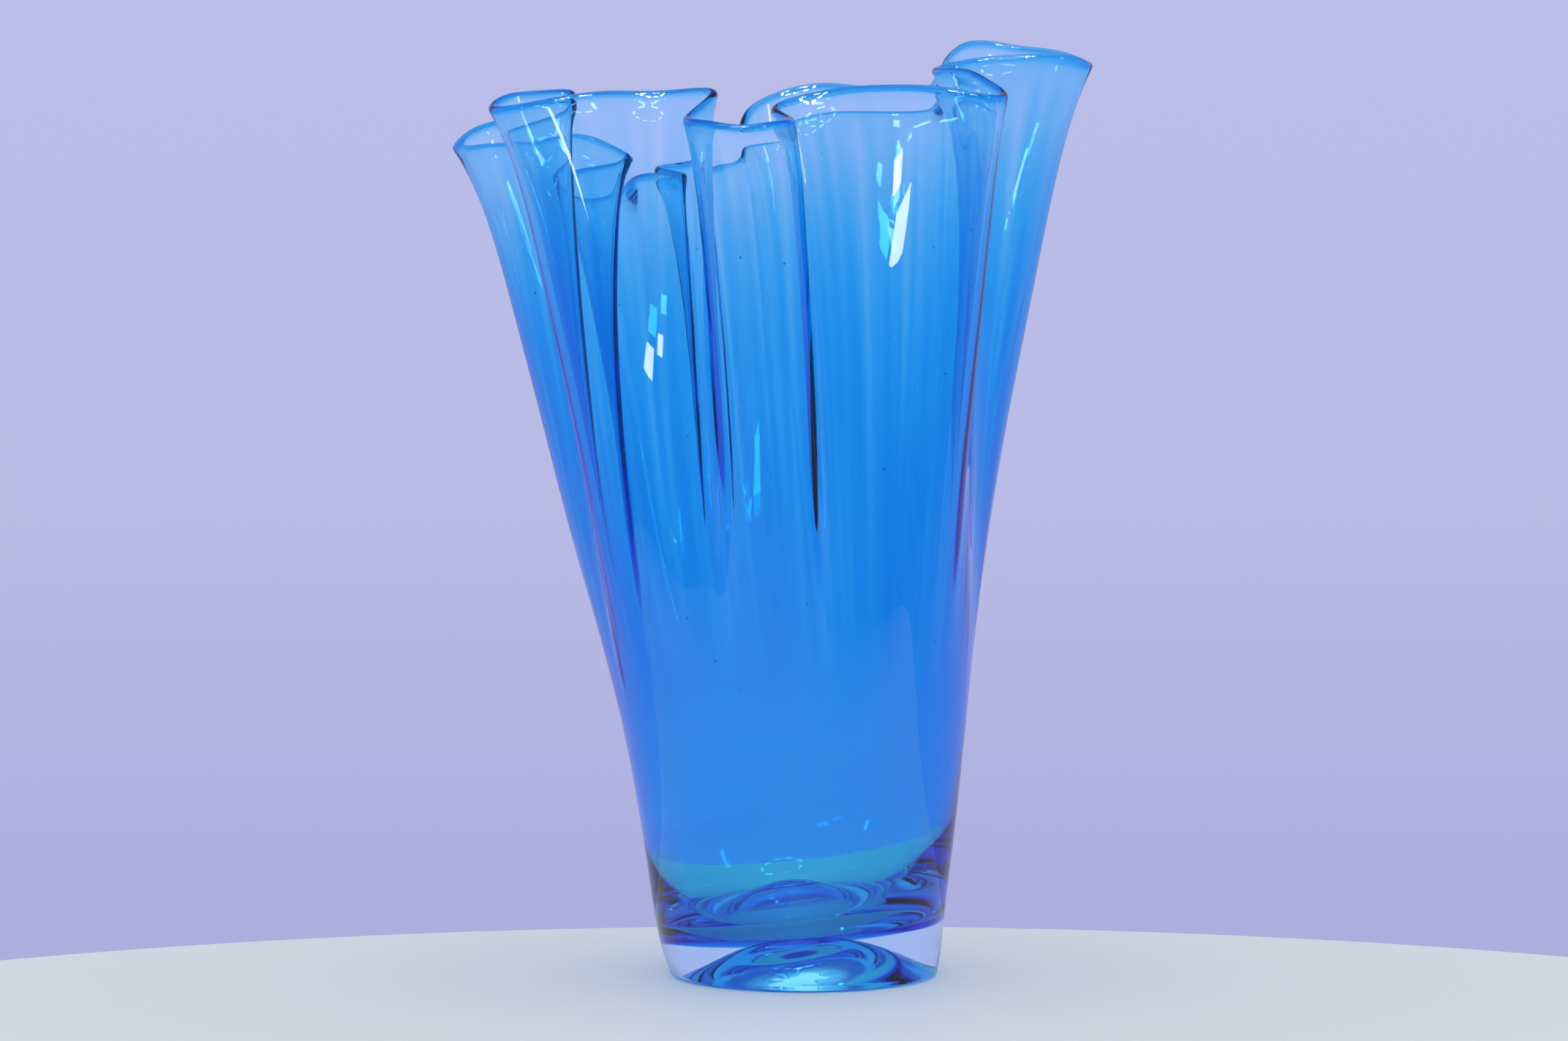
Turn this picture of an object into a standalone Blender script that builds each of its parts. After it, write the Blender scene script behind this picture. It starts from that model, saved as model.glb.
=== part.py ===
"""Mouth-blown glass vase: a thick clear foot, a leaning body, and a wall that opens into deep flutes.

Metres, +Z up. The origin is on the table, under the middle of the vase's box, and the front flute
faces -Y.
"""
import math

import bmesh
import bpy
import numpy as np

MM = 0.001

# Foot and body: the swell is how much the body's radius has grown at each height, and the lean is
# how far its middle has moved to the left there, in millimetres
FOOT_DIAMETER = 87 * MM
FOOT_EDGE = 2 * MM
BODY_SWELL = (
    (0, 0),
    (12, 2.2),
    (31, 4.8),
    (50, 7.4),
    (69, 10),
    (88, 12.9),
    (107, 15.3),
    (145, 19.2),
    (182, 22),
    (220, 25),
    (300, 29),
)
BODY_LEAN = (
    (0, 0),
    (12, 1.2),
    (31, 1.7),
    (50, 2),
    (69, 2.7),
    (88, 3.7),
    (107, 4.6),
    (145, 6.3),
    (182, 7),
    (300, 7),
)

# Wall
WALL_BODY = 4 * MM
WALL_LIP = 3 * MM

# Hollow under the foot, inside the ring that the vase stands on, and how far it lies to the right
STANDING_RING = 10.5 * MM
HOLLOW_RADIUS = FOOT_DIAMETER / 2 - FOOT_EDGE - STANDING_RING
HOLLOW_HEIGHT = 16.5 * MM
HOLLOW_SHIFT = 2.5 * MM

# Cavity: its floor is pushed up over the hollow, inside a trough, and its wall comes down to the
# trough in a round corner. Low down it lies to the left and tilts up to the right.
GLASS_OVER_HOLLOW = 10 * MM
TROUGH_RADIUS = 28 * MM
TROUGH_HEIGHT = 17 * MM
CORNER_HEIGHT = 34 * MM
CORNER_TOP = TROUGH_HEIGHT + CORNER_HEIGHT
CAVITY_SHIFT = 4 * MM
CAVITY_TILT = 0.085

# Flutes: how high above the corner they begin, how much of them opens slowly, the two rates, and
# how far their roots on the body follow the rim's length and not its direction
STRAIGHT_HEIGHT = 33 * MM
FLUTES_BEGIN = CORNER_TOP + STRAIGHT_HEIGHT
SLOW_SHARE = 0.8
SLOW_RATE = 1.5
LIP_RATE = 12
STRETCH_SHARE = 0.7

# The top of the rim seen from above, counterclockwise, in millimetres: across, depth, height
RIM = (
    # Front flute, from its left neck to its right neck
    (-31, -46, 289),
    (-38, -70, 281),
    (-32, -86, 280),
    (-21, -92, 279),
    (-10, -87, 280),
    (-3, -72, 281),
    (-7, -50, 285),
    # Wide wall, then the right flute
    (4, -45, 288),
    (25, -52, 290),
    (46, -60, 289),
    (57, -60, 287),
    (64, -50, 287),
    (59, -36, 291),
    (51, -20, 294),
    (44, -2, 294),
    # Far right flute, the tallest
    (55, 6, 296),
    (70, 8, 297),
    (86, 14, 296),
    (93, 26, 293),
    (84, 38, 296),
    (69, 44, 298),
    (54, 49, 299),
    (48, 57, 293),
    # Back wall
    (43, 71, 284),
    (24, 86, 282),
    (5, 94, 283),
    (-9, 92, 280),
    (-20, 80, 274),
    (-26, 56, 262),
    # Narrow back flute
    (-34, 61, 259),
    (-42, 69, 257),
    (-48, 65, 256),
    (-44, 54, 255),
    (-40, 45, 255),
    # Low back flute
    (-47, 44, 256),
    (-56, 58, 252),
    (-61, 72, 247),
    (-71, 79, 244),
    (-81, 67, 248),
    (-75, 50, 256),
    (-59, 32, 264),
    # Far left flute
    (-74, 34, 271),
    (-91, 36, 269),
    (-106, 30, 268),
    (-113, 16, 267),
    (-107, 4, 273),
    (-93, -2, 278),
    (-76, -8, 286),
    # Left flute
    (-85, -14, 286),
    (-95, -20, 285),
    (-100, -32, 282),
    (-92, -44, 283),
    (-78, -48, 286),
    (-62, -44, 288),
    (-46, -40, 288),
)

# Mesh fineness: columns for each rim point, rings in each stretch, and how far the flutes' rings
# crowd towards the lip
COLUMNS_PER_POINT = 2
HOLLOW_RINGS = 4
EDGE_RINGS = 3
BODY_RINGS = 5
FLUTE_RINGS = 12
RING_CROWDING = 1.25
LIP_RINGS = 3
STRAIGHT_RINGS = 2
CORNER_RINGS = 5
FLOOR_RINGS = 4

# A wall's slope is read between rings this share of the rise to either side, and an edge that
# turns more than the sharp angle isn't smoothed
SLOPE_STEP = 0.002
SHARP_ANGLE = math.radians(40)

# Glass
GLASS_BLUE = (0.12, 0.38, 0.85, 1.0)
GLASS_ROUGHNESS = 0.03
GLASS_IOR = 1.5


def spline(at, knots, values):
    """Read a natural cubic spline through the knots at the given places."""
    knots = np.asarray(knots, float)
    values = np.asarray(values, float)
    step = np.diff(knots)
    slope = np.diff(values) / step
    count = len(knots)
    rows = np.eye(count)
    right = np.zeros(count)
    for i in range(1, count - 1):
        rows[i, i - 1] = step[i - 1]
        rows[i, i] = 2 * (step[i - 1] + step[i])
        rows[i, i + 1] = step[i]
        right[i] = 6 * (slope[i] - slope[i - 1])
    bend = np.linalg.solve(rows, right)
    span = np.clip(np.searchsorted(knots, at, side="right") - 1, 0, count - 2)
    ahead = at - knots[span]
    left = knots[span + 1] - at
    width = step[span]
    return (
        (bend[span] * left**3 + bend[span + 1] * ahead**3) / (6 * width)
        + (values[span] / width - bend[span] * width / 6) * left
        + (values[span + 1] / width - bend[span + 1] * width / 6) * ahead
    )


def rim_line():
    """The wall's top edge, column by column, along a smooth closed curve through RIM."""
    points = np.array(RIM, float) * MM
    gaps = np.linalg.norm(np.roll(points, -1, axis=0) - points, axis=1)
    lap = gaps.sum()
    knots = np.concatenate([[0], np.cumsum(gaps)[:-1]])
    # The curve closes, so its points are laid down three times and the middle lap is read.
    three_knots = np.concatenate([knots - lap, knots, knots + lap])
    shares = np.arange(COLUMNS_PER_POINT) / COLUMNS_PER_POINT
    places = (knots[:, None] + gaps[:, None] * shares[None, :]).ravel()
    rim = np.stack([spline(places, three_knots, np.tile(points[:, k], 3)) for k in range(3)], axis=1)
    # The wall stops half its thickness below the top, which the lip's half round makes up.
    rim[:, 2] -= WALL_LIP / 2
    return rim


def root_azimuths(rim):
    """Where each rim column starts on the round body: between its share of the rim's length,
    as the glass was stretched, and its own direction from the body's middle."""
    gaps = np.linalg.norm(np.roll(rim, -1, axis=0) - rim, axis=1)
    share = 2 * math.pi * np.concatenate([[0], np.cumsum(gaps)[:-1]]) / gaps.sum()
    direction = np.unwrap(np.arctan2(rim[:, 1], rim[:, 0] - lean(np.mean(rim[:, 2]))))
    share += np.mean(direction - share)
    return direction + (share - direction) * STRETCH_SHARE


def lean(height):
    """How far the body's middle has moved to the left at a height."""
    heights = np.array([row[0] for row in BODY_LEAN]) * MM
    moved = np.array([row[1] for row in BODY_LEAN]) * MM
    return -spline(height, heights, moved)


def body_radius(height):
    """The round body's radius at a height, before any flute."""
    heights = np.array([row[0] for row in BODY_SWELL]) * MM
    swell = np.array([row[1] for row in BODY_SWELL]) * MM
    return FOOT_DIAMETER / 2 + spline(height, heights, swell)


def ring_of(radius, height, roots):
    """A round ring of points about the leaning middle."""
    heights = np.broadcast_to(height, roots.shape)
    across = lean(heights) + radius * np.cos(roots)
    return np.stack([across, radius * np.sin(roots), heights], axis=1)


def outer_ring(rise, rim, roots):
    """The outer wall's ring at a share of the way from the flutes' beginning up to the rim."""
    opened = SLOW_SHARE * rise**SLOW_RATE + (1 - SLOW_SHARE) * rise**LIP_RATE
    heights = FLUTES_BEGIN + (rim[:, 2] - FLUTES_BEGIN) * rise
    body = ring_of(body_radius(heights), heights, roots)
    across = body[:, 0] + (rim[:, 0] - body[:, 0]) * opened
    depth = body[:, 1] + (rim[:, 1] - body[:, 1]) * opened
    return np.stack([across, depth, heights], axis=1)


def outward(rise, rim, roots):
    """The outer wall's unit normals along a ring."""
    above = outer_ring(min(rise + SLOPE_STEP, 1), rim, roots)
    upward = above - outer_ring(max(rise - SLOPE_STEP, 0), rim, roots)
    ring = outer_ring(rise, rim, roots)
    along = np.roll(ring, -1, axis=0) - np.roll(ring, 1, axis=0)
    normal = np.cross(along, upward)
    return normal / np.linalg.norm(normal, axis=1)[:, None]


def hollow_ring(spread, roots):
    """A ring of the hollow under the foot, at a share of its radius."""
    rise = 1 - spread**2
    ring = ring_of(HOLLOW_RADIUS * spread, HOLLOW_HEIGHT * rise, roots)
    ring[:, 0] += HOLLOW_SHIFT * rise
    return ring


def cavity_ring(radius, height, roots):
    """A ring of the cavity, moved left and tilted up to the right, both fading out up the wall."""
    ring = ring_of(radius, height, roots)
    fade = 1 - height / FLUTES_BEGIN
    ring[:, 2] += ring[:, 0] * CAVITY_TILT * fade
    ring[:, 0] -= CAVITY_SHIFT * fade**2
    return ring


def cavity_rings(roots):
    """The cavity's rings below the flutes, down the wall, round the corner and in to the axis."""
    rings = []
    for i in range(1, STRAIGHT_RINGS + 1):
        height = FLUTES_BEGIN - STRAIGHT_HEIGHT * i / STRAIGHT_RINGS
        rings.append(cavity_ring(body_radius(height) - WALL_BODY, height, roots))
    setback = body_radius(TROUGH_HEIGHT) - WALL_BODY - TROUGH_RADIUS
    for i in range(1, CORNER_RINGS + 1):
        turn = math.pi / 2 * i / CORNER_RINGS
        height = CORNER_TOP - CORNER_HEIGHT * math.sin(turn)
        radius = body_radius(height) - WALL_BODY - setback * (1 - math.cos(turn))
        rings.append(cavity_ring(radius, height, roots))
    kick = HOLLOW_HEIGHT + GLASS_OVER_HOLLOW - TROUGH_HEIGHT
    for i in range(1, FLOOR_RINGS + 1):
        share = i / FLOOR_RINGS
        height = TROUGH_HEIGHT + kick * (1 - math.cos(math.pi * share)) / 2
        rings.append(cavity_ring(TROUGH_RADIUS * (1 - share), height, roots))
    return rings


def wall_rings(rim, roots):
    """Every ring of the glass, from the hollow under the foot up the outside, over the lip and down
    inside to the middle of the cavity's floor, starting and ending with a ring drawn to a point."""
    foot_radius = FOOT_DIAMETER / 2
    rings = [hollow_ring(i / HOLLOW_RINGS, roots) for i in range(HOLLOW_RINGS + 1)]
    for i in range(EDGE_RINGS):
        turn = math.pi / 2 * i / EDGE_RINGS
        inset = FOOT_EDGE * (1 - math.sin(turn))
        rings.append(ring_of(foot_radius - inset, FOOT_EDGE * (1 - math.cos(turn)), roots))
    for i in range(BODY_RINGS):
        height = FOOT_EDGE + (FLUTES_BEGIN - FOOT_EDGE) * i / BODY_RINGS
        rings.append(ring_of(body_radius(height), height, roots))
    rises = 1 - (1 - np.arange(FLUTE_RINGS + 1) / FLUTE_RINGS) ** RING_CROWDING
    walls = WALL_BODY + (WALL_LIP - WALL_BODY) * rises
    outside = [outer_ring(rise, rim, roots) for rise in rises]
    normals = [outward(rise, rim, roots) for rise in rises]
    rings.extend(outside)
    # The lip is a half round across the wall's thickness.
    tip = outside[-1] - outside[-2]
    tip = tip / np.linalg.norm(tip, axis=1)[:, None]
    middle = outside[-1] - normals[-1] * WALL_LIP / 2
    for i in range(1, LIP_RINGS + 1):
        turn = math.pi * i / (LIP_RINGS + 1)
        rings.append(middle + (normals[-1] * math.cos(turn) + tip * math.sin(turn)) * WALL_LIP / 2)
    for ring, normal, wall in zip(reversed(outside), reversed(normals), reversed(walls)):
        rings.append(ring - normal * wall)
    rings.extend(cavity_rings(roots))
    return rings


def centred(rings):
    """The rings moved sideways, so that the middle of their box stands over the origin."""
    points = np.concatenate(rings)
    middle = (points.min(axis=0) + points.max(axis=0)) / 2
    return [ring - (middle[0], middle[1], 0) for ring in rings]


def glass_material():
    """Blue glass, as a plain Principled material."""
    material = bpy.data.materials.new("blue_glass")
    material.use_nodes = True
    shader = material.node_tree.nodes["Principled BSDF"]
    shader.inputs["Base Color"].default_value = GLASS_BLUE
    shader.inputs["Roughness"].default_value = GLASS_ROUGHNESS
    shader.inputs["IOR"].default_value = GLASS_IOR
    shader.inputs["Metallic"].default_value = 0.0
    return material


def vase():
    """The blown glass as one closed body: rings of quads, closed by a fan at either end."""
    rim = rim_line()
    roots = root_azimuths(rim)
    mesh_builder = bmesh.new()
    first, *between, last = centred(wall_rings(rim, roots))
    rings = [[mesh_builder.verts.new(point) for point in ring] for ring in between]
    count = len(roots)
    for low, high in zip(rings, rings[1:]):
        for i in range(count):
            after = (i + 1) % count
            mesh_builder.faces.new((low[i], low[after], high[after], high[i]))
    under = mesh_builder.verts.new(first[0])
    floor = mesh_builder.verts.new(last[0])
    for i in range(count):
        after = (i + 1) % count
        mesh_builder.faces.new((rings[0][after], rings[0][i], under))
        mesh_builder.faces.new((rings[-1][i], rings[-1][after], floor))
    mesh = bpy.data.meshes.new("vase")
    mesh_builder.to_mesh(mesh)
    mesh_builder.free()
    mesh.shade_smooth()
    mesh.set_sharp_from_angle(angle=SHARP_ANGLE)
    mesh.materials.append(glass_material())
    piece = bpy.data.objects.new("vase", mesh)
    bpy.context.scene.collection.objects.link(piece)
    return piece


for old in list(bpy.data.objects):
    bpy.data.objects.remove(old, do_unlink=True)
vase()
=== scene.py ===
"""Looks of a mouth-blown glass vase: clear glass cased over blue, drawn up into deep uneven flutes.

Metres, +Z up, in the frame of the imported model. The front flute faces -Y, towards the camera.
"""
import math

import bpy
import numpy as np
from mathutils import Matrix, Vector


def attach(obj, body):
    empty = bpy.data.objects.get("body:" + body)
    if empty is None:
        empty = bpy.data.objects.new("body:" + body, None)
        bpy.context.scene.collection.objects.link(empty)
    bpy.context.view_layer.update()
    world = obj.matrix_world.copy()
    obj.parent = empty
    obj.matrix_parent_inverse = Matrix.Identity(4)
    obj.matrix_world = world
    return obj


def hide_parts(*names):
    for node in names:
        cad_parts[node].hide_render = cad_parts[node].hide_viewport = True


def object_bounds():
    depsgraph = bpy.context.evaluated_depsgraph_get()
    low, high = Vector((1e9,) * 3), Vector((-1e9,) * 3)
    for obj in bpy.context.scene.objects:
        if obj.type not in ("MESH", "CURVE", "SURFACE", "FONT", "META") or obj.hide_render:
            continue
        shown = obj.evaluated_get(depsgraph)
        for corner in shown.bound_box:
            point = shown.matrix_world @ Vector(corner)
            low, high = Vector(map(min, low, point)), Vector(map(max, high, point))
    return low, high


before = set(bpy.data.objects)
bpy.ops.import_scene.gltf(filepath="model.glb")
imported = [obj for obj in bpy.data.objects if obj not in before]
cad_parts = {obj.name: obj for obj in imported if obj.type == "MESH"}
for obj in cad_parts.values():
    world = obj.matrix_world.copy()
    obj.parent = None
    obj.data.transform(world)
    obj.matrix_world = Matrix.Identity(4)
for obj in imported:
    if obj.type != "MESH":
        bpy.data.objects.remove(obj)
cad_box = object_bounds()


# The vase itself: soda glass, gathered in two coats, blown into a cup, then opened and turned over,
# so that its hot wall hangs in folds. The foot stays thick and clear, and the lip is polished round
# in the fire. It is a closed skin of rings, from the hollow under the foot to the cavity's floor.
MM = 0.001
FOOT_DIAMETER = 87 * MM
FOOT_EDGE = 2 * MM
# How much the body's radius has grown at each height, and how far its middle has moved to the left
# there, in millimetres
BODY_SWELL = (
    (0, 0),
    (12, 2.2),
    (31, 4.8),
    (50, 7.4),
    (69, 10),
    (88, 12.9),
    (107, 15.3),
    (145, 19.2),
    (182, 22),
    (220, 25),
    (300, 29),
)
BODY_LEAN = (
    (0, 0),
    (12, 1.2),
    (31, 1.7),
    (50, 2),
    (69, 2.7),
    (88, 3.7),
    (107, 4.6),
    (145, 6.3),
    (182, 7),
    (300, 7),
)
# The wall opens towards the rim: most of the way slowly from low down, the rest quickly at the lip
SLOW_SHARE = 0.8
SLOW_RATE = 1.5
LIP_RATE = 12
# How much of a column's start on the body is its share of the rim's length, not its own direction
STRETCH_SHARE = 0.7
WALL_BODY = 4 * MM
WALL_LIP = 3 * MM
# How thick the wall is at a distance below the lip, in millimetres
WALL_DRAWN = ((0, 3.0), (2, 2.7), (5, 2.1), (9, 1.7), (18, 1.6), (40, 2.2), (80, 2.9), (120, 3.4), (200, 4.0))
# The rim's height where such distances are counted from
RIM_HEIGHT = 284 * MM
# The foot stands on a ring round a hollow, and the cavity's floor is pushed up over that hollow
STANDING_RING = 10.5 * MM
HOLLOW_RADIUS = FOOT_DIAMETER / 2 - FOOT_EDGE - STANDING_RING
HOLLOW_HEIGHT = 16.5 * MM
# The hollow's top lies this far to the right of the foot's middle
HOLLOW_SHIFT = 2.5 * MM
GLASS_OVER_HOLLOW = 10 * MM
# The cavity: a straight wall, a round corner, then a trough round the pushed-up floor
TROUGH_RADIUS = 28 * MM
TROUGH_HEIGHT = 17 * MM
CORNER_HEIGHT = 34 * MM
CORNER_TOP = TROUGH_HEIGHT + CORNER_HEIGHT
# The cavity's floor lies this far to the left, and rises to the right by this share of the way
CAVITY_SHIFT = 4 * MM
CAVITY_TILT = 0.085
STRAIGHT_HEIGHT = 33 * MM
FLUTES_BEGIN = CORNER_TOP + STRAIGHT_HEIGHT
# The rim's top seen from above, counterclockwise, in millimetres: across, depth, height
RIM = (
    # Front flute, from its left neck to its right neck
    (-31, -46, 289),
    (-38, -70, 281),
    (-32, -86, 280),
    (-21, -92, 279),
    (-10, -87, 280),
    (-3, -72, 281),
    (-7, -50, 285),
    # Wide wall, then the right flute
    (4, -45, 288),
    (25, -52, 290),
    (46, -60, 289),
    (57, -60, 287),
    (64, -50, 287),
    (59, -36, 291),
    (51, -20, 294),
    (44, -2, 294),
    # Far right flute, the tallest
    (55, 6, 296),
    (70, 8, 297),
    (86, 14, 296),
    (93, 26, 293),
    (84, 38, 296),
    (69, 44, 298),
    (54, 49, 299),
    (48, 57, 293),
    # Back wall
    (43, 71, 284),
    (24, 86, 282),
    (5, 94, 283),
    (-9, 92, 280),
    (-20, 80, 274),
    (-26, 56, 262),
    # Narrow back flute
    (-34, 61, 259),
    (-42, 69, 257),
    (-48, 65, 256),
    (-44, 54, 255),
    (-40, 45, 255),
    # Low back flute
    (-47, 44, 256),
    (-56, 58, 252),
    (-61, 72, 247),
    (-71, 79, 244),
    (-81, 67, 248),
    (-75, 50, 256),
    (-59, 32, 264),
    # Far left flute
    (-74, 34, 271),
    (-91, 36, 269),
    (-106, 30, 268),
    (-113, 16, 267),
    (-107, 4, 273),
    (-93, -2, 278),
    (-76, -8, 286),
    # Left flute
    (-85, -14, 286),
    (-95, -20, 285),
    (-100, -32, 282),
    (-92, -44, 283),
    (-78, -48, 286),
    (-62, -44, 288),
    (-46, -40, 288),
)
# How finely the skin is divided: columns between the rim's points, and rings up each stretch
COLUMNS_PER_POINT = 8
HOLLOW_RINGS = 14
EDGE_RINGS = 4
BODY_RINGS = 14
FLUTE_RINGS = 56
LIP_RINGS = 9
BOWL_RINGS = 12
# Above 1, the flutes' rings lie closer together towards the lip
LIP_CROWDING = 1.25
# How far above and below a ring, as a share of the rise, the wall's slope is read
SLOPE_STEP = 0.002
GLASS_IOR = 1.5
CLEAR_TINT = "#5ADEE6"
# How strongly each metre of the glass takes in the light that its tint leaves out
CLEAR_ABSORPTION = 6


def spline(at, knots, values):
    """Read a natural cubic spline through the knots at the given places."""
    knots = np.asarray(knots, float)
    values = np.asarray(values, float)
    step = np.diff(knots)
    slope = np.diff(values) / step
    count = len(knots)
    rows = np.eye(count)
    right = np.zeros(count)
    for i in range(1, count - 1):
        rows[i, i - 1] = step[i - 1]
        rows[i, i] = 2 * (step[i - 1] + step[i])
        rows[i, i + 1] = step[i]
        right[i] = 6 * (slope[i] - slope[i - 1])
    bend = np.linalg.solve(rows, right)
    span = np.clip(np.searchsorted(knots, at, side="right") - 1, 0, count - 2)
    ahead = at - knots[span]
    left = knots[span + 1] - at
    width = step[span]
    return (
        (bend[span] * left**3 + bend[span + 1] * ahead**3) / (6 * width)
        + (values[span] / width - bend[span] * width / 6) * left
        + (values[span + 1] / width - bend[span + 1] * width / 6) * ahead
    )


def rim_line(per_point):
    """The wall's top edge, column by column, along a smooth closed curve through RIM."""
    points = np.array(RIM, float) * MM
    gaps = np.linalg.norm(np.roll(points, -1, axis=0) - points, axis=1)
    lap = gaps.sum()
    knots = np.concatenate([[0], np.cumsum(gaps)[:-1]])
    # The curve closes, so its points are laid down three times and the middle lap is read.
    three_knots = np.concatenate([knots - lap, knots, knots + lap])
    shares = np.arange(per_point) / per_point
    places = (knots[:, None] + gaps[:, None] * shares[None, :]).ravel()
    rim = np.stack([spline(places, three_knots, np.tile(points[:, k], 3)) for k in range(3)], axis=1)
    # The wall stops half its thickness below the top, which the lip's half round makes up.
    rim[:, 2] -= WALL_LIP / 2
    return rim


def root_azimuths(rim):
    """Where each rim column starts on the round body: between its share of the rim's length,
    as the glass was stretched, and its own direction from the body's middle."""
    gaps = np.linalg.norm(np.roll(rim, -1, axis=0) - rim, axis=1)
    share = 2 * math.pi * np.concatenate([[0], np.cumsum(gaps)[:-1]]) / gaps.sum()
    direction = np.unwrap(np.arctan2(rim[:, 1], rim[:, 0] - lean(np.mean(rim[:, 2]))))
    share += np.mean(direction - share)
    return direction + (share - direction) * STRETCH_SHARE


def lean(height):
    """How far the body's middle has moved to the left at a height."""
    heights = np.array([row[0] for row in BODY_LEAN]) * MM
    moved = np.array([row[1] for row in BODY_LEAN]) * MM
    return -spline(height, heights, moved)


def body_radius(height):
    """The round body's radius at a height, before any flute."""
    heights = np.array([row[0] for row in BODY_SWELL]) * MM
    swell = np.array([row[1] for row in BODY_SWELL]) * MM
    return FOOT_DIAMETER / 2 + spline(height, heights, swell)


def ring_of(radius, height, roots):
    """A round ring of points about the leaning middle."""
    heights = np.broadcast_to(height, roots.shape)
    across = lean(heights) + radius * np.cos(roots)
    return np.stack([across, radius * np.sin(roots), heights], axis=1)


def outer_ring(rise, rim, roots):
    """The outer wall's ring at a share of the way from the flutes' beginning up to the rim."""
    opened = SLOW_SHARE * rise**SLOW_RATE + (1 - SLOW_SHARE) * rise**LIP_RATE
    heights = FLUTES_BEGIN + (rim[:, 2] - FLUTES_BEGIN) * rise
    body = ring_of(body_radius(heights), heights, roots)
    across = body[:, 0] + (rim[:, 0] - body[:, 0]) * opened
    depth = body[:, 1] + (rim[:, 1] - body[:, 1]) * opened
    return np.stack([across, depth, heights], axis=1)


def outward(rise, rim, roots):
    """The outer wall's unit normals along a ring."""
    above = outer_ring(min(rise + SLOPE_STEP, 1), rim, roots)
    upward = above - outer_ring(max(rise - SLOPE_STEP, 0), rim, roots)
    ring = outer_ring(rise, rim, roots)
    along = np.roll(ring, -1, axis=0) - np.roll(ring, 1, axis=0)
    normal = np.cross(along, upward)
    return normal / np.linalg.norm(normal, axis=1)[:, None]


def drawn(profile, rise):
    """A thickness up the flutes, read from its profile below the lip."""
    below = np.array([row[0] for row in profile]) * MM
    thick = np.array([row[1] for row in profile]) * MM
    return np.interp((1 - rise) * (RIM_HEIGHT - FLUTES_BEGIN), below, thick)


def flute_rises(count):
    """Shares of the flutes' rise at which rings lie, closer together towards the lip."""
    return 1 - (1 - np.arange(count + 1) / count) ** LIP_CROWDING


def cavity_profile(count):
    """The cavity's radius and height below the flutes, down the wall, round the corner and in to
    the axis over the dome."""
    profile = []
    for i in range(count):
        height = FLUTES_BEGIN - STRAIGHT_HEIGHT * i / count
        profile.append((float(body_radius(height)) - WALL_BODY, height))
    setback = float(body_radius(TROUGH_HEIGHT)) - WALL_BODY - TROUGH_RADIUS
    for i in range(2 * count):
        turn = math.pi / 2 * i / (2 * count)
        height = CORNER_TOP - CORNER_HEIGHT * math.sin(turn)
        profile.append((float(body_radius(height)) - WALL_BODY - setback * (1 - math.cos(turn)), height))
    kick = HOLLOW_HEIGHT + GLASS_OVER_HOLLOW - TROUGH_HEIGHT
    for i in range(count + 1):
        share = i / count
        height = TROUGH_HEIGHT + kick * (1 - math.cos(math.pi * share)) / 2
        profile.append((TROUGH_RADIUS * (1 - share), height))
    return np.array(profile)


def bottom_rings(inset, count, roots, gain=0):
    """The cavity's rings below the flutes, set into the glass by inset, and by a gain more where
    the corner comes down to the floor. They lie left and tilt up to the right low down."""
    points = cavity_profile(count)
    along = np.gradient(points, axis=0)
    along = along / np.linalg.norm(along, axis=1)[:, None]
    depth = inset + gain * np.clip((CORNER_TOP - points[:, 1]) / CORNER_HEIGHT, 0, 1)
    points = points + np.stack([-along[:, 1], along[:, 0]], axis=1) * depth[:, None]
    rings = []
    for radius, height in points[1:]:
        ring = ring_of(radius, height, roots)
        fade = max(0, 1 - height / FLUTES_BEGIN)
        ring[:, 2] += ring[:, 0] * CAVITY_TILT * fade
        ring[:, 0] -= CAVITY_SHIFT * fade**2
        rings.append(ring)
    return rings[:-1], tuple(rings[-1].mean(axis=0))


def closed_mesh(name, rings, first_tip, last_tip, foot_place):
    """A closed skin of quads through the rings, ended by a fan at either tip, facing outwards, with
    the middle of the foot moved to its place in the frame."""
    count = len(rings[0])
    points = np.concatenate([[first_tip]] + rings + [[last_tip]]) + foot_place
    faces = []
    for row in range(len(rings) - 1):
        low = 1 + row * count
        for i in range(count):
            after = (i + 1) % count
            faces.append((low + i, low + after, low + count + after, low + count + i))
    last = 1 + (len(rings) - 1) * count
    for i in range(count):
        after = (i + 1) % count
        faces.append((1 + after, 1 + i, 0))
        faces.append((last + i, last + after, len(points) - 1))
    mesh = bpy.data.meshes.new(name)
    mesh.from_pydata(points.tolist(), [], faces)
    mesh.shade_smooth()
    piece = bpy.data.objects.new(name, mesh)
    bpy.context.scene.collection.objects.link(piece)
    return piece


rim = rim_line(COLUMNS_PER_POINT)
roots = root_azimuths(rim)
foot_radius = FOOT_DIAMETER / 2
# The rings run from the hollow's top out to the standing ring, round the foot's edge, up the outside,
# over the lip and down the inside to the middle of the floor.
rings = []
for i in range(1, HOLLOW_RINGS + 1):
    spread = i / HOLLOW_RINGS
    ring = ring_of(HOLLOW_RADIUS * spread, HOLLOW_HEIGHT * (1 - spread**2), roots)
    ring[:, 0] += HOLLOW_SHIFT * (1 - spread**2)
    rings.append(ring)
for i in range(EDGE_RINGS + 1):
    turn = math.pi / 2 * i / EDGE_RINGS
    inset = FOOT_EDGE * (1 - math.sin(turn))
    rings.append(ring_of(foot_radius - inset, FOOT_EDGE * (1 - math.cos(turn)), roots))
for i in range(1, BODY_RINGS):
    height = FOOT_EDGE + (FLUTES_BEGIN - FOOT_EDGE) * i / BODY_RINGS
    rings.append(ring_of(body_radius(height), height, roots))
rises = flute_rises(FLUTE_RINGS)
walls = drawn(WALL_DRAWN, rises)
outside = [outer_ring(rise, rim, roots) for rise in rises]
normals = [outward(rise, rim, roots) for rise in rises]
rings.extend(outside)
tip = outside[-1] - outside[-2]
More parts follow.
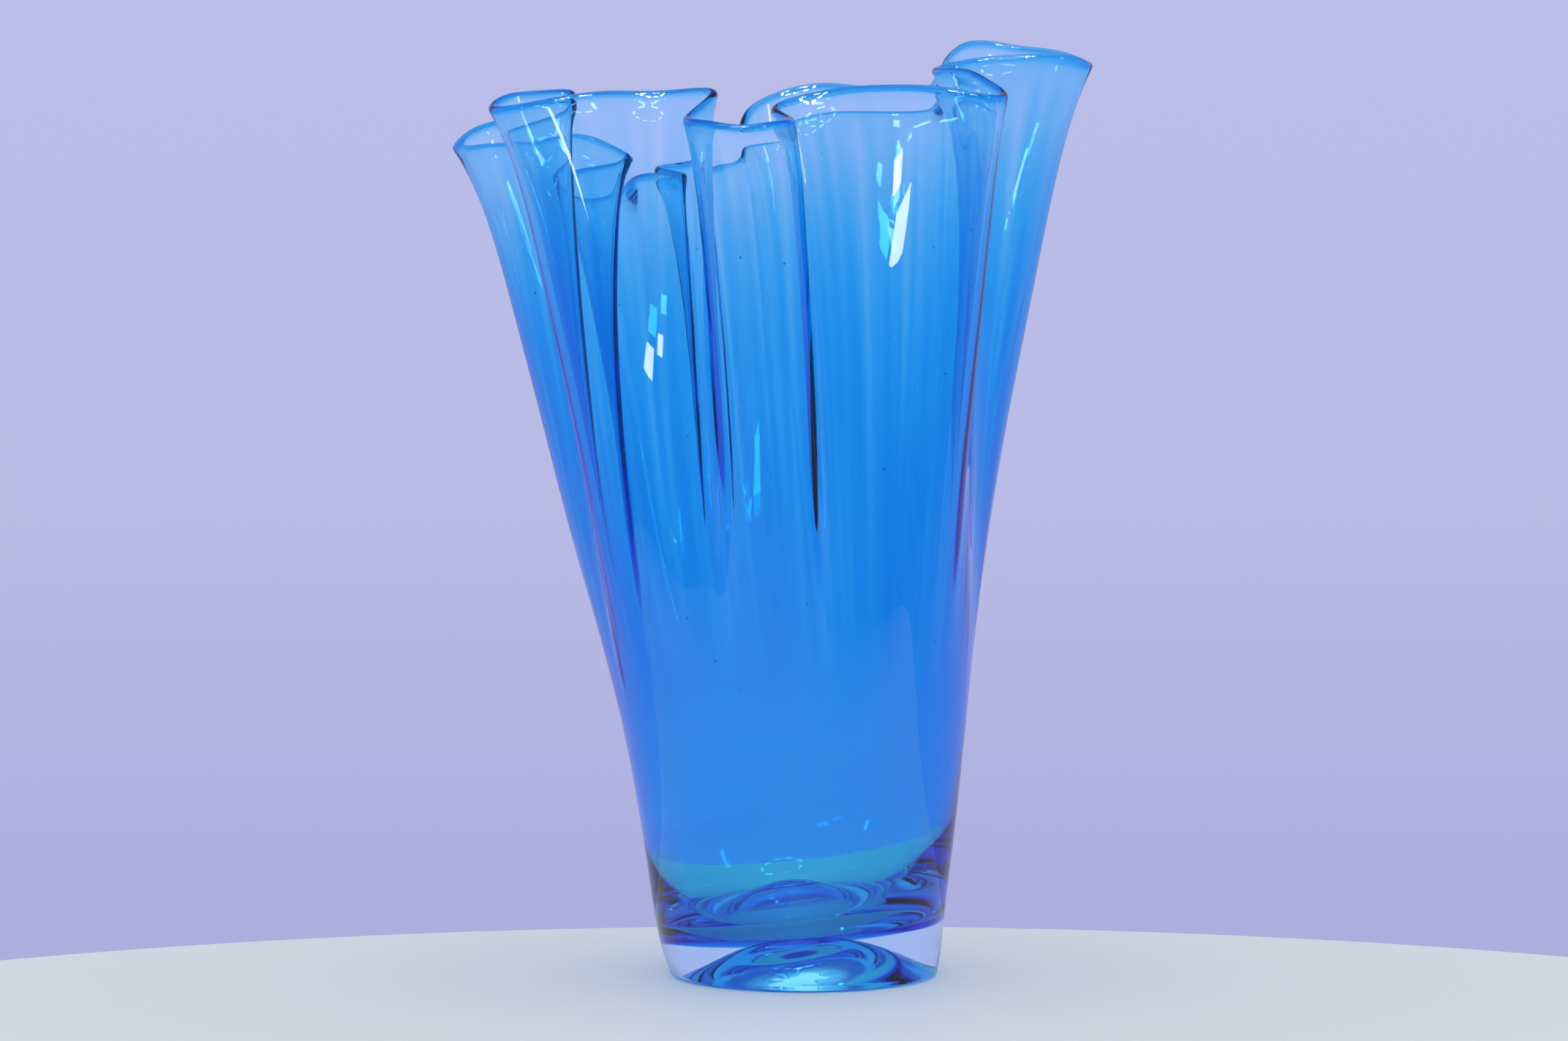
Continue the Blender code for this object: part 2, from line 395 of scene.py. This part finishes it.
tip = tip / np.linalg.norm(tip, axis=1)[:, None]
middle = outside[-1] - normals[-1] * WALL_LIP / 2
for i in range(1, LIP_RINGS + 1):
    turn = math.pi * i / (LIP_RINGS + 1)
    rings.append(middle + (normals[-1] * math.cos(turn) + tip * math.sin(turn)) * WALL_LIP / 2)
for ring, normal, wall in zip(reversed(outside), reversed(normals), reversed(walls)):
    rings.append(ring - normal * wall)
bottom, floor_middle = bottom_rings(0, BOWL_RINGS, roots)
rings.extend(bottom)
# The rings lie about the middle of the foot, and the frame's origin is under the middle of the box.
every_point = np.concatenate(rings)
ring_middle = (every_point.min(axis=0) + every_point.max(axis=0)) / 2
foot_place = (np.array(cad_box).mean(axis=0) - ring_middle) * (1, 1, 0)
glass = closed_mesh("clear_glass", rings, (HOLLOW_SHIFT, 0, HOLLOW_HEIGHT), floor_middle, foot_place)


def linear(code):
    """An sRGB hex colour as Blender's linear values."""
    parts = [int(code[i:i + 2], 16) / 255 for i in (1, 3, 5)]
    return tuple(p / 12.92 if p <= 0.04045 else ((p + 0.055) / 1.055) ** 2.4 for p in parts) + (1.0,)


def add(tree, kind, links=None, **settings):
    """Add a node with its settings and the numbers of its inputs, and link what feeds the others."""
    node = tree.nodes.new(kind)
    for key, value in settings.items():
        if key == "inputs":
            for socket, number in value.items():
                node.inputs[socket].default_value = number
        else:
            setattr(node, key, value)
    for socket, source in (links or {}).items():
        tree.links.new(source, node.inputs[socket])
    return node


def glass_material(name, ior, tint, absorption):
    """Smooth glass that takes in light along its depth, and lets lamplight through to the table."""
    material = bpy.data.materials.new(name)
    material.use_nodes = True
    tree = material.node_tree
    tree.nodes.clear()
    solid = add(tree, "ShaderNodeBsdfPrincipled", inputs={
        "Base Color": linear("#FFFFFF"), "Roughness": 0.0, "IOR": ior, "Transmission Weight": 1.0})
    through = add(tree, "ShaderNodeBsdfTransparent")
    path = add(tree, "ShaderNodeLightPath")
    mix = add(tree, "ShaderNodeMixShader", {
        0: path.outputs["Is Shadow Ray"], 1: solid.outputs[0], 2: through.outputs[0]})
    depth = add(tree, "ShaderNodeVolumeAbsorption", inputs={"Color": linear(tint), "Density": absorption})
    add(tree, "ShaderNodeOutputMaterial", {"Surface": mix.outputs[0], "Volume": depth.outputs[0]})
    return material


# Soda glass, blown and fire-polished: clear and glossy, with a faint sea green where it is thick
glass.data.materials.append(glass_material("clear_soda_glass", GLASS_IOR, CLEAR_TINT, CLEAR_ABSORPTION))
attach(glass, "root")
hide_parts("vase")


# The blue coat: a gather of cobalt and copper blue glass under the clear coat. It lines the whole
# wall, ends in a round bulb in the clear foot, and thins where the wall was drawn out to the lip.
COAT_INSET = 0.15 * MM
COAT_BODY = 2.8 * MM
COAT_FOOT = 1.9 * MM
# How thick the coat is at a distance below the lip, in millimetres
COAT_DRAWN = (
    (0, 2.4),
    (1, 0.9),
    (2, 0.7),
    (4, 0.6),
    (12, 0.62),
    (20, 0.72),
    (30, 0.98),
    (57, 1.8),
    (80, 2.35),
    (110, 2.75),
    (200, 2.9),
)
# Streaks: how many waves of thickness round the wall, how deep, the seed that sets their phases, and
# the shares of the flutes' rise over which they come in at the bottom and go out at the lip
STREAK_WAVES = (29, 47, 76, 113)
STREAK_DEPTH = 0.3
STREAK_SEED = 5
STREAK_IN = 0.5
STREAK_OUT = 0.06
# Broad flows of colour: their waves round the wall and how far each slants with the rise, how deep
# they are, and the shares of the rise over which they come in and go out
FLOW_WAVES = ((7, 5.5), (10, -7))
FLOW_DEPTH = 0.2
FLOW_IN = 0.15
FLOW_OUT = 0.45
# The two glasses are melted together, so light doesn't bend again where it goes from one to the other
COAT_IOR = 1.0
COAT_ABSORPTION = 800
COAT_TINT = "#28ECFC"

coat_thick = drawn(COAT_DRAWN, rises)
phases = np.random.default_rng(STREAK_SEED).uniform(0, 2 * math.pi, len(STREAK_WAVES))
streaks = sum(np.sin(waves * roots + phase) for waves, phase in zip(STREAK_WAVES, phases))
streaks = STREAK_DEPTH * streaks / math.sqrt(len(STREAK_WAVES))
bulb, bulb_middle = bottom_rings(COAT_INSET + COAT_BODY, BOWL_RINGS, roots, COAT_FOOT - COAT_BODY)
coat_rings = list(reversed(bulb))
for ring, normal, wall, thick, rise in zip(outside, normals, walls, coat_thick, rises):
    flows = sum(np.sin(waves * roots + slant * rise) for waves, slant in FLOW_WAVES) / len(FLOW_WAVES)
    flow_share = FLOW_DEPTH * min(1, rise / FLOW_IN, (1 - rise) / FLOW_OUT)
    streak_share = min(1, rise / STREAK_IN, (1 - rise) / STREAK_OUT)
    streaked = thick * (1 + streaks * streak_share + flows * flow_share)
    depth = wall - COAT_INSET - np.minimum(streaked, wall - 2 * COAT_INSET)
    coat_rings.append(ring - normal * depth[:, None])
for i in range(1, LIP_RINGS + 1):
    turn = math.pi * i / (LIP_RINGS + 1)
    round_off = normals[-1] * math.cos(turn) + tip * math.sin(turn)
    coat_rings.append(middle + round_off * (WALL_LIP / 2 - COAT_INSET))
for ring, normal, wall in zip(reversed(outside), reversed(normals), reversed(walls)):
    coat_rings.append(ring - normal * (wall - COAT_INSET))
lining, lining_middle = bottom_rings(COAT_INSET, BOWL_RINGS, roots)
coat_rings.extend(lining)
coat = closed_mesh("blue_coat", coat_rings, bulb_middle, lining_middle, foot_place)
# Cobalt and copper blue glass: it takes the red out within a millimetre or two, so the thin lip stays
# pale, the body is bright blue, and folds and edges that are looked along go deep blue
coat.data.materials.append(glass_material("blue_coat_glass", COAT_IOR, COAT_TINT, COAT_ABSORPTION))
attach(coat, "root")


# The seeds: small bubbles of air that the melt kept between its two gathers. They catch the light as
# tiny sparks. A node tree scatters them over a sheet along the middle of the wall.
SEEDS_PER_SQUARE_METRE = 450
SEED_RADIUS = 0.4 * MM
# The smallest seed against the largest, and the number that their places and sizes start from
SMALLEST_SEED = 0.4
SEED_NUMBER = 11
SEED_SUBDIVISIONS = 2
# The sheet takes every fourth of the flutes' rings and columns, and stops short of the thin lip
SHEET_STEP = 4
SHEET_TOP = -6
# Air's index of refraction against the glass that a seed lies in
AIR_IN_GLASS = 1 / GLASS_IOR


def wall_sheet():
    """An open sheet of quads along the middle of the wall, for the seeds to be scattered on."""
    middles = [ring - normal * wall / 2 for ring, normal, wall in zip(outside, normals, walls)]
    chosen = [ring[::SHEET_STEP] + foot_place for ring in middles[:SHEET_TOP:SHEET_STEP]]
    count = len(chosen[0])
    faces = []
    for row in range(len(chosen) - 1):
        for i in range(count):
            after = (i + 1) % count
            low = row * count
            high = low + count
            faces.append((low + i, low + after, high + after, high + i))
    mesh = bpy.data.meshes.new("seed_sheet")
    mesh.from_pydata(np.concatenate(chosen).tolist(), [], faces)
    return bpy.data.objects.new("seed_sheet", mesh)


def seed_tree():
    """A node tree that scatters small balls of different sizes over a mesh."""
    tree = bpy.data.node_groups.new("scatter_seeds", "GeometryNodeTree")
    sockets = tree.interface
    sockets.new_socket("Sheet", in_out="INPUT", socket_type="NodeSocketGeometry")
    for name, kind in (("Density", "Float"), ("Radius", "Float"), ("Smallest", "Float"),
                       ("Number", "Int"), ("Material", "Material")):
        sockets.new_socket(name, in_out="INPUT", socket_type="NodeSocket" + kind)
    sockets.new_socket("Seeds", in_out="OUTPUT", socket_type="NodeSocketGeometry")
    given = add(tree, "NodeGroupInput").outputs
    spots = add(tree, "GeometryNodeDistributePointsOnFaces", {
        "Mesh": given["Sheet"], "Density": given["Density"], "Seed": given["Number"]})
    ball = add(tree, "GeometryNodeMeshIcoSphere", {"Radius": given["Radius"]}, inputs={
        "Subdivisions": SEED_SUBDIVISIONS})
    size = add(tree, "FunctionNodeRandomValue", {2: given["Smallest"], "Seed": given["Number"]}, inputs={
        3: 1.0})
    placed = add(tree, "GeometryNodeInstanceOnPoints", {
        "Points": spots.outputs["Points"], "Instance": ball.outputs["Mesh"], "Scale": size.outputs[1]})
    real = add(tree, "GeometryNodeRealizeInstances", {0: placed.outputs[0]})
    glazed = add(tree, "GeometryNodeSetMaterial", {
        "Geometry": real.outputs[0], "Material": given["Material"]})
    add(tree, "NodeGroupOutput", {0: glazed.outputs[0]})
    return tree


def seed_material():
    """Air closed in by glass: it bends light the other way, and shows as a spark with a dark edge."""
    material = bpy.data.materials.new("air_in_glass")
    material.use_nodes = True
    shader = material.node_tree.nodes["Principled BSDF"]
    shader.inputs["Base Color"].default_value = linear("#FFFFFF")
    shader.inputs["Roughness"].default_value = 0.0
    shader.inputs["IOR"].default_value = AIR_IN_GLASS
    shader.inputs["Transmission Weight"].default_value = 1.0
    return material


sheet = wall_sheet()
bpy.context.scene.collection.objects.link(sheet)
scatter = sheet.modifiers.new("scatter_seeds", "NODES")
scatter.node_group = seed_tree()
air = seed_material()
inputs = {"Density": SEEDS_PER_SQUARE_METRE, "Radius": SEED_RADIUS, "Smallest": SMALLEST_SEED,
          "Number": SEED_NUMBER, "Material": air}
for socket in scatter.node_group.interface.items_tree:
    if socket.in_out == "INPUT" and socket.name in inputs:
        scatter[socket.identifier] = inputs[socket.name]
depsgraph = bpy.context.evaluated_depsgraph_get()
seed_mesh = bpy.data.meshes.new_from_object(sheet.evaluated_get(depsgraph))
seed_mesh.shade_smooth()
# The empty sheet leaves an empty slot ahead of the seeds' own material.
seed_mesh.materials.clear()
seed_mesh.materials.append(air)
seeds = bpy.data.objects.new("seeds", seed_mesh)
bpy.context.scene.collection.objects.link(seeds)
bpy.data.objects.remove(sheet, do_unlink=True)
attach(seeds, "root")


# The table: a round board with a pale painted top. Its back edge shows behind the foot. Its front part
# has a painted shade, darker and bluer, that only the glass mirrors, so the table's front edge draws no line
# in the body.
TABLE_RADIUS = 0.464
TABLE_CENTRE = (0.010, -0.352)
TABLE_THICKNESS = 0.02
# The table's top lies this far under the foot, so that the two don't share a face
TABLE_GAP = 0.1 * MM
TABLE_SIDES = 256
TABLE_COLOUR = "#D0D3D5"
PAINT_ROUGHNESS = 0.5
PAINT_GLOSS = 0.15
# A painted shade on the table's front part, which only the glass's reflections show
MIRRORED_PAINTED_SHADE_COLOUR = "#6480A8"
# Where towards the front the painted shade begins, and where it is darkest
PAINTED_SHADE_BEGINS = -0.16
PAINTED_SHADE_DARKEST = -0.5

table_mesh = bpy.data.meshes.new("table")
corners = []
for level in (-TABLE_GAP, -TABLE_THICKNESS):
    for i in range(TABLE_SIDES):
        turn = 2 * math.pi * i / TABLE_SIDES
        across = TABLE_CENTRE[0] + TABLE_RADIUS * math.cos(turn)
        depth = TABLE_CENTRE[1] + TABLE_RADIUS * math.sin(turn)
        corners.append((across, depth, level))
sides = [(i + TABLE_SIDES, (i + 1) % TABLE_SIDES + TABLE_SIDES, (i + 1) % TABLE_SIDES, i)
         for i in range(TABLE_SIDES)]
top = tuple(range(TABLE_SIDES))
under = tuple(range(2 * TABLE_SIDES - 1, TABLE_SIDES - 1, -1))
table_mesh.from_pydata(corners, [], [top, under] + sides)
table = bpy.data.objects.new("table", table_mesh)
bpy.context.scene.collection.objects.link(table)
# Brushed matt paint: an even pale grey that takes the blue light under the foot, with hardly a gloss
paint = bpy.data.materials.new("pale_table_paint")
paint.use_nodes = True
tree = paint.node_tree
# Only in the glass's reflections does the paint turn towards the painted shade colour at the front
place = add(tree, "ShaderNodeTexCoord")
split = add(tree, "ShaderNodeSeparateXYZ", {"Vector": place.outputs["Object"]})
unshaded = add(tree, "ShaderNodeMapRange", {
    "Value": split.outputs["Y"]}, interpolation_type="SMOOTHSTEP", inputs={
    "From Min": PAINTED_SHADE_DARKEST, "From Max": PAINTED_SHADE_BEGINS})
path = add(tree, "ShaderNodeLightPath")
# The painted shade shows to glossy rays only, and the camera sees the plain paint
direct = add(tree, "ShaderNodeMath", {1: path.outputs["Is Glossy Ray"]}, operation="SUBTRACT", inputs={0: 1})
unshaded_share = add(tree, "ShaderNodeMath", {
    0: unshaded.outputs["Result"], 1: direct.outputs["Value"]}, operation="MAXIMUM")
shade_painted_colour = add(tree, "ShaderNodeMix", {0: unshaded_share.outputs["Value"]}, data_type="RGBA", inputs={
    6: linear(MIRRORED_PAINTED_SHADE_COLOUR), 7: linear(TABLE_COLOUR)})
shader = tree.nodes["Principled BSDF"]
tree.links.new(shade_painted_colour.outputs[2], shader.inputs["Base Color"])
shader.inputs["Roughness"].default_value = PAINT_ROUGHNESS
shader.inputs["Specular IOR Level"].default_value = PAINT_GLOSS
table.data.materials.append(paint)


# The room: its even white light falls on everything. The camera and the glass see a lavender wall
# behind the vase, a bluer room in front of it and over it, and a white ceiling at the top.
# The colour by the height of the line of sight, and the colour on the camera's side
ROOM_COLOURS = (
    (-0.135, "#ACAEDE"),
    (-0.094, "#B9BBE4"),
    (-0.042, "#BABDE8"),
    (0.25, "#BABDE8"),
    (0.45, "#5474B8"),
    (0.8, "#5474B8"),
    (0.95, "#FFFFFF"),
)
FRONT_COLOUR = "#6890CC"
# Where the wall's colour goes over to the front's, in the line of sight's part along Y
ALL_FRONT = -0.7
ALL_WALL = 0.3
# What is seen through glass is a little brighter and bluer than the wall itself
THROUGH_COLOUR = "#F4F2FF"
THROUGH_STRENGTH = 1.22
FILL_COLOUR = "#FFFFFF"
FILL_STRENGTH = 1.18
# Light that no matt surface has scattered has a diffuse depth of 0, which is below this
FIRST_SCATTER = 0.5

world = bpy.data.worlds.new("room")
bpy.context.scene.world = world
world.use_nodes = True
tree = world.node_tree
tree.nodes.clear()
place = add(tree, "ShaderNodeTexCoord")
split = add(tree, "ShaderNodeSeparateXYZ", {0: place.outputs["Generated"]})
# The ramp runs from 0, straight down, to 1, straight up.
height = add(tree, "ShaderNodeMath", {0: split.outputs["Z"]}, operation="MULTIPLY_ADD", inputs={
    1: 0.5, 2: 0.5})
seen = add(tree, "ShaderNodeValToRGB", {0: height.outputs[0]})
for i, (level, code) in enumerate(ROOM_COLOURS):
    stop = seen.color_ramp.elements[i] if i < 2 else seen.color_ramp.elements.new(1)
    stop.position = 0.5 + level / 2
    stop.color = linear(code)
behind = add(tree, "ShaderNodeMapRange", {0: split.outputs["Y"]}, interpolation_type="SMOOTHSTEP", inputs={
    1: ALL_FRONT, 2: ALL_WALL, 3: 0.0, 4: 1.0})
around = add(tree, "ShaderNodeMix", {
    0: behind.outputs[0], 7: seen.outputs["Color"]}, data_type="RGBA", inputs={6: linear(FRONT_COLOUR)})
path = add(tree, "ShaderNodeLightPath")
gloss = add(tree, "ShaderNodeMath", {
    0: path.outputs["Is Camera Ray"], 1: path.outputs["Is Glossy Ray"]}, operation="ADD")
through = add(tree, "ShaderNodeMath", {
    0: gloss.outputs[0], 1: path.outputs["Is Transmission Ray"]}, operation="ADD", use_clamp=True)
straight = add(tree, "ShaderNodeMath", {0: path.outputs["Diffuse Depth"]}, operation="LESS_THAN", inputs={
    1: FIRST_SCATTER})
shown = add(tree, "ShaderNodeMath", {0: through.outputs[0], 1: straight.outputs[0]}, operation="MULTIPLY")
plain = add(tree, "ShaderNodeBackground", {"Color": around.outputs[2]}, inputs={"Strength": 1.0})
richer = add(tree, "ShaderNodeMix", {6: around.outputs[2]}, data_type="RGBA", blend_type="MULTIPLY", inputs={
    0: 1.0, 7: linear(THROUGH_COLOUR)})
glassed = add(tree, "ShaderNodeBackground", {"Color": richer.outputs[2]}, inputs={
    "Strength": THROUGH_STRENGTH})
backdrop = add(tree, "ShaderNodeMixShader", {
    0: path.outputs["Is Transmission Ray"], 1: plain.outputs[0], 2: glassed.outputs[0]})
fill = add(tree, "ShaderNodeBackground", inputs={"Color": linear(FILL_COLOUR), "Strength": FILL_STRENGTH})
mix = add(tree, "ShaderNodeMixShader", {0: shown.outputs[0], 1: fill.outputs[0], 2: backdrop.outputs[0]})
add(tree, "ShaderNodeOutputWorld", {"Surface": mix.outputs[0]})


# The lamps: tubes that hang in a ring in front of the vase, and windows to the left and the right of
# the camera. They only show in the glass, and the room's even light is what falls on the table, so
# each shines only where no matt surface has scattered the light.
LAMP_COUNT = 8
LAMP_RING = 0.6
LAMP_RING_CENTRE = (0.15, -1.35, 1.75)
LAMP_LENGTH = 0.27
LAMP_WIDTH = 0.09
LAMP_BRIGHTNESS = 160
# Each window's name, place, width, height and brightness, and the point that they all face
WINDOWS = (
    ("front_window", (-0.97, -3.03, 0.02), 0.53, 0.12, 14),
    ("front_pane", (-1.58, -2.76, 0.11), 0.36, 0.08, 14),
    ("left_window", (-2.14, -0.88, 0.86), 0.14, 0.2, 14),
    ("right_window", (2.2, -0.9, 1.3), 0.2, 0.7, 10),
)
WINDOW_AIM = Vector((0, 0, 0.2))


def glass_light(name, place_at, aim, width, tall, brightness):
    """A rectangular light that shows in the glass and leaves the table to the room's light."""
    light = bpy.data.lights.new(name, "AREA")
    light.shape = "RECTANGLE"
    light.size = width
    light.size_y = tall
    light.energy = brightness * math.pi * width * tall
    light.use_nodes = True
    tree = light.node_tree
    tree.nodes.clear()
    path = add(tree, "ShaderNodeLightPath")
    straight = add(tree, "ShaderNodeMath", {0: path.outputs["Diffuse Depth"]}, operation="LESS_THAN", inputs={
        1: FIRST_SCATTER})
    shine = add(tree, "ShaderNodeEmission", {"Strength": straight.outputs[0]})
    add(tree, "ShaderNodeOutputLight", {"Surface": shine.outputs[0]})
    holder = bpy.data.objects.new(name, light)
    holder.location = place_at
    holder.rotation_euler = aim
    holder.visible_diffuse = False
    bpy.context.scene.collection.objects.link(holder)


for i in range(LAMP_COUNT):
    turn = 2 * math.pi * (i + 0.5) / LAMP_COUNT
    across = LAMP_RING_CENTRE[0] + LAMP_RING * math.cos(turn)
    depth = LAMP_RING_CENTRE[1] + LAMP_RING * math.sin(turn)
    glass_light(f"tube_lamp_{i}", (across, depth, LAMP_RING_CENTRE[2]), (0, 0, turn + math.pi / 2),
                LAMP_LENGTH, LAMP_WIDTH, LAMP_BRIGHTNESS)
for name, place_at, width, tall, brightness in WINDOWS:
    aim = (WINDOW_AIM - Vector(place_at)).to_track_quat("-Z", "Y").to_euler()
    glass_light(name, place_at, aim, width, tall, brightness)


# The camera: it stands three metres in front of the vase, a little above the lip, and looks slightly
# down through a long lens, so that the flutes' mouths are seen almost edge on.
CAMERA_PLACE = (0.0035, -3.001, 0.4323)
CAMERA_TILT = math.radians(84.572)
CAMERA_LENS = 215.12
CAMERA_REACH = 20
# Light goes through many skins of glass before it leaves the folds
BOUNCES_IN_GLASS = 96
SHADOW_BOUNCES = 40

camera_data = bpy.data.cameras.new("camera")
camera_data.lens = CAMERA_LENS
camera_data.clip_end = CAMERA_REACH
camera = bpy.data.objects.new("camera", camera_data)
camera.location = CAMERA_PLACE
camera.rotation_euler = (CAMERA_TILT, 0, 0)
bpy.context.scene.collection.objects.link(camera)
bpy.context.scene.camera = camera

scene = bpy.context.scene
scene.view_settings.view_transform = "Standard"
scene.cycles.max_bounces = BOUNCES_IN_GLASS
scene.cycles.transmission_bounces = BOUNCES_IN_GLASS
scene.cycles.glossy_bounces = BOUNCES_IN_GLASS
scene.cycles.transparent_max_bounces = SHADOW_BOUNCES
